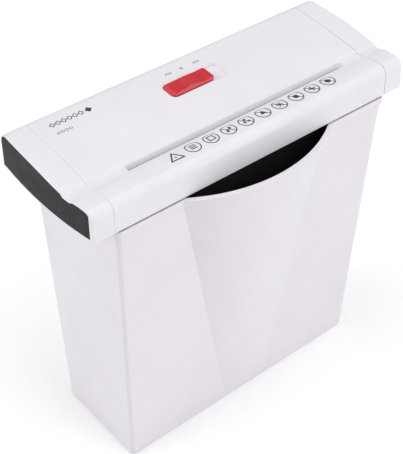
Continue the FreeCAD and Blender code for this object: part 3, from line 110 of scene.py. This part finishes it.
def noise(tree, place, size, detail=3.0, roughness=0.55, stretch=None):
    """Noise whose blotches are about size across; stretch scales the coordinates first."""
    if stretch is not None:
        mapping = tree.nodes.new("ShaderNodeMapping")
        mapping.inputs["Scale"].default_value = stretch
        tree.links.new(place, mapping.inputs["Vector"])
        place = mapping.outputs["Vector"]
    node = tree.nodes.new("ShaderNodeTexNoise")
    node.inputs["Scale"].default_value = 1.0 / size
    node.inputs["Detail"].default_value = detail
    node.inputs["Roughness"].default_value = roughness
    tree.links.new(place, node.inputs["Vector"])
    return node.outputs["Fac"]


def ramp(tree, factor, stops):
    """Turns a factor into colours: stops is a list of (position, colour)."""
    node = tree.nodes.new("ShaderNodeValToRGB")
    elements = node.color_ramp.elements
    while len(elements) < len(stops):
        elements.new(0.5)
    for element, (position, colour) in zip(elements, stops):
        element.position = position
        element.color = (*colour, 1.0)
    tree.links.new(factor, node.inputs["Fac"])
    return node.outputs["Color"]


def remap(tree, factor, low, high):
    """Maps the middle range of a noise factor to low..high."""
    node = tree.nodes.new("ShaderNodeMapRange")
    node.inputs["From Min"].default_value = 0.3
    node.inputs["From Max"].default_value = 0.7
    node.inputs["To Min"].default_value = low
    node.inputs["To Max"].default_value = high
    tree.links.new(factor, node.inputs["Value"])
    return node.outputs["Result"]


def bump(tree, shader, height, depth):
    """Raises the surface by depth where height is 1."""
    node = tree.nodes.new("ShaderNodeBump")
    node.inputs["Strength"].default_value = 1.0
    node.inputs["Distance"].default_value = depth
    tree.links.new(height, node.inputs["Height"])
    tree.links.new(node.outputs["Normal"], shader.inputs["Normal"])


def shade(colour, factor):
    """The colour, lighter or darker by a factor."""
    return tuple(min(1.0, channel * factor) for channel in colour)


def plastic(name, colour, rough, grain, grain_depth, mottle=0.02, gloss_spread=0.05, specular=0.5):
    """Moulded plastic: a fine eroded grain, cloudy shade from the moulding, and uneven gloss."""
    material, tree, shader, place = blank_material(name)
    cloud = noise(tree, place, 45 * MM, detail=4.0)
    colours = [(0.3, shade(colour, 1 - mottle)), (0.7, shade(colour, 1 + mottle))]
    tree.links.new(ramp(tree, cloud, colours), shader.inputs["Base Color"])
    gloss = noise(tree, place, 14 * MM, detail=5.0)
    spread = remap(tree, gloss, rough - gloss_spread, rough + gloss_spread)
    tree.links.new(spread, shader.inputs["Roughness"])
    shader.inputs["Specular IOR Level"].default_value = specular
    pits = noise(tree, place, grain, detail=2.0, roughness=0.7)
    bump(tree, shader, pits, grain_depth)
    return material


def metal(name, colour, rough, lines, line_depth, tint=0.06, stretch=(1.0, 1.0, 18.0)):
    """Bare metal with drawn or ground lines along one direction and a slight uneven tint."""
    material, tree, shader, place = blank_material(name)
    shader.inputs["Metallic"].default_value = 1.0
    cloud = noise(tree, place, 12 * MM, detail=5.0)
    colours = [(0.3, shade(colour, 1 - tint)), (0.7, shade(colour, 1 + tint))]
    tree.links.new(ramp(tree, cloud, colours), shader.inputs["Base Color"])
    streaks = noise(tree, place, lines, detail=3.0, stretch=stretch)
    tree.links.new(remap(tree, streaks, rough * 0.75, rough * 1.3), shader.inputs["Roughness"])
    bump(tree, shader, streaks, line_depth)
    return material


def zinc_plate(name):
    """Galvanised sheet: crystal patches of slightly different grey, with a dull sheen."""
    material, tree, shader, place = blank_material(name)
    shader.inputs["Metallic"].default_value = 1.0
    cells = tree.nodes.new("ShaderNodeTexVoronoi")
    cells.inputs["Scale"].default_value = 1.0 / (4.0 * MM)
    tree.links.new(place, cells.inputs["Vector"])
    grey = ramp(tree, cells.outputs["Color"], [(0.2, (0.50, 0.51, 0.53)), (0.8, (0.68, 0.69, 0.71))])
    tree.links.new(grey, shader.inputs["Base Color"])
    haze = noise(tree, place, 3.0 * MM, detail=5.0)
    tree.links.new(remap(tree, haze, 0.30, 0.46), shader.inputs["Roughness"])
    bump(tree, shader, haze, 0.03 * MM)
    return material


def copper_wire(name):
    """Enamelled winding wire: close parallel strands with a varnish coat."""
    material, tree, shader, place = blank_material(name)
    shader.inputs["Metallic"].default_value = 1.0
    shader.inputs["Coat Weight"].default_value = 0.6
    strands = tree.nodes.new("ShaderNodeTexWave")
    strands.bands_direction = "DIAGONAL"
    strands.inputs["Scale"].default_value = 0.5 / (0.35 * MM) / 3.0
    strands.inputs["Distortion"].default_value = 1.2
    strands.inputs["Detail"].default_value = 2.0
    tree.links.new(place, strands.inputs["Vector"])
    tone = ramp(tree, strands.outputs["Fac"], [(0.1, (0.30, 0.10, 0.04)), (0.6, (0.78, 0.36, 0.20))])
    tree.links.new(tone, shader.inputs["Base Color"])
    tree.links.new(remap(tree, strands.outputs["Fac"], 0.25, 0.42), shader.inputs["Roughness"])
    bump(tree, shader, strands.outputs["Fac"], 0.12 * MM)
    return material


def porous_bronze(name):
    """Sintered bronze: oily, with dark pores."""
    material, tree, shader, place = blank_material(name)
    shader.inputs["Metallic"].default_value = 1.0
    pores = noise(tree, place, 0.35 * MM, detail=3.0, roughness=0.7)
    tone = ramp(tree, pores, [(0.35, (0.24, 0.15, 0.07)), (0.55, (0.66, 0.47, 0.24))])
    tree.links.new(tone, shader.inputs["Base Color"])
    tree.links.new(remap(tree, pores, 0.5, 0.28), shader.inputs["Roughness"])
    bump(tree, shader, pores, 0.05 * MM)
    return material


def laminate_board(name):
    """Paper laminate for circuits: tan, with faint fibres and solder-mask blotches."""
    material, tree, shader, place = blank_material(name)
    fibres = noise(tree, place, 0.8 * MM, detail=5.0, stretch=(1.0, 6.0, 1.0))
    tone = ramp(tree, fibres, [(0.3, (0.34, 0.20, 0.07)), (0.7, (0.52, 0.34, 0.14))])
    tree.links.new(tone, shader.inputs["Base Color"])
    tree.links.new(remap(tree, fibres, 0.32, 0.46), shader.inputs["Roughness"])
    bump(tree, shader, fibres, 0.02 * MM)
    return material


def clear_glass(name):
    """Thin glass tube with faint draw lines."""
    material, tree, shader, place = blank_material(name)
    lines = noise(tree, place, 1.2 * MM, detail=3.0, stretch=(0.2, 3.0, 3.0))
    tone = ramp(tree, lines, [(0.3, (0.80, 0.84, 0.83)), (0.7, (0.92, 0.95, 0.94))])
    tree.links.new(tone, shader.inputs["Base Color"])
    tree.links.new(remap(tree, lines, 0.03, 0.10), shader.inputs["Roughness"])
    shader.inputs["IOR"].default_value = 1.47
    shader.inputs["Alpha"].default_value = 0.55
    bump(tree, shader, lines, 0.01 * MM)
    return material


def printed_ink(name):
    """Pad-printed dark grey ink: matt, very slightly broken by the grain under it."""
    material, tree, shader, place = blank_material(name)
    specks = noise(tree, place, 0.25 * MM, detail=3.0, roughness=0.7)
    tone = ramp(tree, specks, [(0.3, (0.030, 0.030, 0.034)), (0.75, (0.060, 0.060, 0.066))])
    tree.links.new(tone, shader.inputs["Base Color"])
    tree.links.new(remap(tree, specks, 0.52, 0.68), shader.inputs["Roughness"])
    bump(tree, shader, specks, 0.01 * MM)
    return material


def make_finishes():
    """One finish for each material slot of the record."""
    return {
        "white_plastic": plastic("white_moulding", (0.775, 0.760, 0.797), 0.40, 0.55 * MM, 0.035 * MM),
        "white_bin_plastic": plastic("white_bin_moulding", (0.745, 0.717, 0.762), 0.36, 0.9 * MM, 0.03 * MM),
        "black_plastic": plastic("black_moulding", (0.010, 0.010, 0.011), 0.50, 0.5 * MM, 0.05 * MM,
                                 mottle=0.12, specular=0.16),
        "red_plastic": plastic("red_gloss_moulding", (0.585, 0.032, 0.043), 0.20, 0.8 * MM, 0.008 * MM,
                               mottle=0.06, gloss_spread=0.04),
        "nylon": plastic("nylon_moulding", (0.72, 0.69, 0.60), 0.38, 0.4 * MM, 0.02 * MM, mottle=0.05),
        "steel_sheet": zinc_plate("zinc_plated_steel"),
        "hardened_steel": metal("hardened_steel_turned", (0.30, 0.30, 0.31), 0.34, 0.5 * MM, 0.02 * MM),
        "bright_steel": metal("bright_steel_ground", (0.62, 0.62, 0.63), 0.20, 0.4 * MM, 0.008 * MM),
        "bronze": porous_bronze("sintered_bronze"),
        "copper": copper_wire("enamelled_copper"),
        "ferrite": plastic("ferrite_sintered", (0.045, 0.045, 0.048), 0.55, 0.3 * MM, 0.04 * MM,
                           mottle=0.15),
        "board": laminate_board("paper_laminate"),
        "relay_blue": plastic("blue_moulding", (0.03, 0.12, 0.42), 0.32, 0.5 * MM, 0.02 * MM,
                              mottle=0.06),
        "capacitor_sleeve": plastic("black_shrink_sleeve", (0.035, 0.035, 0.06), 0.28, 0.6 * MM,
                                    0.015 * MM, mottle=0.1),
        "green_plastic": plastic("green_moulding", (0.04, 0.30, 0.10), 0.36, 0.5 * MM, 0.03 * MM,
                                 mottle=0.06),
        "glass_fuse": clear_glass("fuse_glass"),
        "rubber_black": plastic("black_soft_rubber", (0.020, 0.020, 0.021), 0.62, 0.35 * MM, 0.05 * MM,
                                mottle=0.15),
        "carbon": plastic("pressed_carbon", (0.030, 0.030, 0.032), 0.50, 0.3 * MM, 0.05 * MM,
                          mottle=0.2),
    }


def dress_nodes(finishes):
    """Puts each CAD node's finish in its material slots, by the slot name it came with."""
    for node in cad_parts.values():
        for holder in node.material_slots:
            slot_name = holder.material.name.split(".")[0]
            holder.material = finishes[slot_name]


# ------------------------------------------------------------ printed marks

def surface_height(x, y):
    """Height of the cover's top surface over a point."""
    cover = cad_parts["top_cover"]
    hit, place, _, _ = cover.ray_cast(Vector((x, y, 1.0)), Vector((0, 0, -1)))
    if not hit:
        raise ValueError(f"no cover under {x}, {y}")
    return place.z


class Print:
    """Flat closed shapes, gathered and laid on the cover as one thin layer of ink."""

    def __init__(self, name):
        self.name = name
        self.shapes = []

    def polygon(self, points):
        """A filled outline. Points go round it once."""
        self.shapes.append(([tuple(p) for p in points], None))

    def ring(self, outer, inner):
        """The band between two outlines with the same number of points."""
        self.shapes.append(([tuple(p) for p in outer], [tuple(p) for p in inner]))

    def disc(self, x, y, radius, count=20):
        self.polygon(around(x, y, radius, count))

    def circle(self, x, y, radius, line, count=48):
        self.ring(around(x, y, radius + line / 2, count), around(x, y, radius - line / 2, count))

    def bar(self, x, y, length, width, turn=0.0):
        """A straight bar centred on x, y, with turn in degrees from the x direction."""
        along = Vector((math.cos(math.radians(turn)), math.sin(math.radians(turn))))
        across = Vector((-along.y, along.x))
        middle = Vector((x, y))
        corners = []
        for a, b in ((-1, -1), (1, -1), (1, 1), (-1, 1)):
            corners.append(middle + along * (a * length / 2) + across * (b * width / 2))
        self.polygon(corners)

    def make(self, material, body="head"):
        """Builds the ink as thin closed slabs that follow the cover."""
        mesh = bpy.data.meshes.new(self.name)
        work = bmesh.new()
        for outer, inner in self.shapes:
            add_flat(work, outer, inner)
        refine(work)
        lay_on_cover(work)
        work.to_mesh(mesh)
        work.free()
        piece = bpy.data.objects.new(self.name, mesh)
        bpy.context.scene.collection.objects.link(piece)
        mesh.materials.append(material)
        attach(piece, body)


def around(x, y, radius, count, start=0.0):
    """Points spaced evenly on a circle; start is the first one's angle in degrees."""
    points = []
    for step in range(count):
        angle = math.radians(start + 360.0 * step / count)
        points.append((x + radius * math.cos(angle), y + radius * math.sin(angle)))
    return points


def add_flat(work, outer, inner):
    """Adds one flat shape: a filled outline, or the band between two outlines."""
    rim = [work.verts.new((x, y, 0)) for x, y in outer]
    if inner is None:
        work.faces.new(rim)
        return
    hole = [work.verts.new((x, y, 0)) for x, y in inner]
    for i in range(len(rim)):
        after = (i + 1) % len(rim)
        work.faces.new((rim[i], rim[after], hole[after], hole[i]))


def refine(work):
    """Splits the flat shapes until every edge is short enough to follow the cover's curves."""
    bmesh.ops.triangulate(work, faces=work.faces)
    while True:
        long_edges = [edge for edge in work.edges if edge.calc_length() > INK_STEP]
        if not long_edges:
            return
        bmesh.ops.subdivide_edges(work, edges=long_edges, cuts=1)
        bmesh.ops.triangulate(work, faces=work.faces)


def lay_on_cover(work):
    """Drops the flat shapes onto the cover and gives them a thickness, part above and part inside it."""
    for vertex in work.verts:
        vertex.co.z = surface_height(vertex.co.x, vertex.co.y) - INK_BELOW
    grown = bmesh.ops.extrude_face_region(work, geom=work.faces[:], use_keep_orig=True)
    for item in grown["geom"]:
        if isinstance(item, bmesh.types.BMVert):
            item.co.z += INK_ABOVE + INK_BELOW
    bmesh.ops.recalc_face_normals(work, faces=work.faces)


def make_glyph(ink, kind, x, y):
    """A plain abstract shape inside a ring."""
    r = RING_RADIUS
    if kind not in ("sheets", "frame"):
        ink.bar(x, y, 2 * r - RING_LINE, GLYPH_LINE, turn=-45)
    if kind == "sheets":
        for step in (-1, 0, 1):
            ink.bar(x, y + step * 0.34 * r, 0.95 * r, 0.17 * r)
    elif kind == "frame":
        ink.ring(around(x, y, 0.72 * r, 4, 45), around(x, y, 0.5 * r, 4, 45))
    elif kind == "blocks":
        ink.bar(x - 0.28 * r, y - 0.22 * r, 0.34 * r, 0.5 * r)
        ink.bar(x + 0.28 * r, y + 0.22 * r, 0.34 * r, 0.5 * r)
    elif kind == "dots":
        for step in range(3):
            angle = math.radians(90 + 120 * step)
            ink.disc(x + 0.36 * r * math.cos(angle), y + 0.36 * r * math.sin(angle), 0.2 * r)
    elif kind == "wedge":
        ink.polygon(around(x, y, 0.55 * r, 3, 90))
    elif kind == "disc":
        ink.disc(x, y, 0.4 * r)
    elif kind == "cross":
        ink.bar(x, y, 1.05 * r, 0.2 * r)
        ink.bar(x, y, 1.05 * r, 0.2 * r, turn=90)
    elif kind == "diamond":
        ink.polygon(around(x, y, 0.52 * r, 4, 0))
    elif kind == "star":
        for turn in (0, 60, 120):
            ink.bar(x, y, 1.15 * r, 0.14 * r, turn=turn)


def make_symbol_row(material):
    """The printed row in front of the slot: a triangle, then rings with abstract shapes."""
    ink = Print("symbol_row")
    x = sum(corner[0] for corner in TRIANGLE) / 3
    y = sum(corner[1] for corner in TRIANGLE) / 3
    hole = [(x + (a - x) * TRIANGLE_HOLE, y + (b - y) * TRIANGLE_HOLE) for a, b in TRIANGLE]
    ink.ring(TRIANGLE, hole)
    ink.disc(x, y, TRIANGLE_DOT)
    for step, kind in enumerate(GLYPHS):
        x = RING_FIRST_X + step * RING_PITCH
        ink.circle(x, RING_Y, RING_RADIUS, RING_LINE)
        make_glyph(ink, kind, x, RING_Y)
    ink.make(material)


def make_legends(material):
    """Marks behind the switch for forward, off and reverse."""
    ink = Print("switch_legends")
    tall = LEGEND_HEIGHT
    for x, way in ((LEGEND_FORWARD_X, 1), (LEGEND_BACK_X, -1)):
        for step in (-1, 0, 1):
            tip = x + way * (step * 1.1 * tall + 0.3 * tall)
            for side in (1, -1):
                ink.bar(tip - way * 0.35 * tall, LEGEND_Y + side * 0.3 * tall, tall * 0.9, LEGEND_LINE,
                        turn=-way * side * CHEVRON_ANGLE)
    ink.circle(LEGEND_OFF_X, LEGEND_Y, LEGEND_HEIGHT / 2, LEGEND_LINE, count=24)
    ink.make(material)


def make_emblem(material):
    """A plain ornament on the left of the cover: diamonds, the last one solid, and a smaller row."""
    ink = Print("corner_emblem")
    for step in range(EMBLEM_COUNT):
        ink.circle(EMBLEM_FIRST_X + step * EMBLEM_PITCH, EMBLEM_Y, EMBLEM_RADIUS, EMBLEM_LINE, count=4)
    ink.polygon(around(EMBLEM_END_X, EMBLEM_Y, EMBLEM_END_RADIUS, 4))
    for step in range(UNDERLINE_COUNT):
        ink.circle(UNDERLINE_FIRST_X + step * UNDERLINE_PITCH, UNDERLINE_Y, UNDERLINE_RADIUS, UNDERLINE_LINE,
                   count=4)
    ink.make(material)


# ------------------------------------------------------------ floor, light, camera

def make_floor():
    """A plain pale floor."""
    mesh = bpy.data.meshes.new("floor")
    work = bmesh.new()
    bmesh.ops.create_grid(work, x_segments=8, y_segments=8, size=FLOOR_HALF)
    work.to_mesh(mesh)
    work.free()
    floor = bpy.data.objects.new("floor", mesh)
    bpy.context.scene.collection.objects.link(floor)
    finish = plastic("pale_floor", (0.95, 0.95, 0.95), 0.75, 2.0 * MM, 0.02 * MM, mottle=0.004, specular=0.2)
    shader = finish.node_tree.nodes["Principled BSDF"]
    shader.inputs["Emission Color"].default_value = (1.0, 1.0, 1.0, 1.0)
    shader.inputs["Emission Strength"].default_value = FLOOR_GLOW
    mesh.materials.append(finish)


def make_softbox(name, centre, azimuth, height, distance, size, strength):
    """A square soft light aimed at centre. Azimuth 0 stands in front (-y), 90 to the left (-x)."""
    light = bpy.data.lights.new(name, "AREA")
    light.shape = "SQUARE"
    light.size = size
    light.energy = strength * math.pi ** 2 * distance ** 2
    across, up = math.radians(azimuth), math.radians(height)
    away = Vector((-math.sin(across) * math.cos(up), -math.cos(across) * math.cos(up), math.sin(up)))
    lamp = bpy.data.objects.new(name, light)
    lamp.location = centre + away * distance
    lamp.rotation_mode = "QUATERNION"
    lamp.rotation_quaternion = (-away).to_track_quat("-Z", "Y")
    bpy.context.scene.collection.objects.link(lamp)


def make_world():
    world = bpy.data.worlds.new("studio")
    world.use_nodes = True
    background = world.node_tree.nodes["Background"]
    background.inputs["Color"].default_value = (1.0, 0.99, 1.0, 1.0)
    background.inputs["Strength"].default_value = WORLD_STRENGTH
    bpy.context.scene.world = world


def make_camera():
    camera = bpy.data.cameras.new("camera")
    camera.lens = CAMERA_LENS
    camera.sensor_width = CAMERA_SENSOR
    camera.clip_start = 0.05
    camera.clip_end = 50.0
    across, down = math.radians(CAMERA_AZIMUTH), math.radians(CAMERA_DIP)
    look = Vector((math.sin(across) * math.cos(down), math.cos(across) * math.cos(down), -math.sin(down)))
    holder = bpy.data.objects.new("camera", camera)
    holder.location = CAMERA_PLACE
    holder.rotation_mode = "QUATERNION"
    holder.rotation_quaternion = look.to_track_quat("-Z", "Y")
    bpy.context.scene.collection.objects.link(holder)
    bpy.context.scene.camera = holder


cad_low, cad_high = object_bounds()
finishes = make_finishes()
ink = printed_ink("dark_ink")
dress_nodes(finishes)
make_symbol_row(ink)
make_legends(ink)
make_emblem(ink)

make_floor()
object_centre = (cad_low + cad_high) / 2
make_softbox("overhead", object_centre, **OVERHEAD)
make_softbox("left_box", object_centre, **LEFT_BOX)
make_softbox("right_box", object_centre, **RIGHT_BOX)
make_world()
make_camera()
bpy.context.scene.view_settings.view_transform = "Standard"
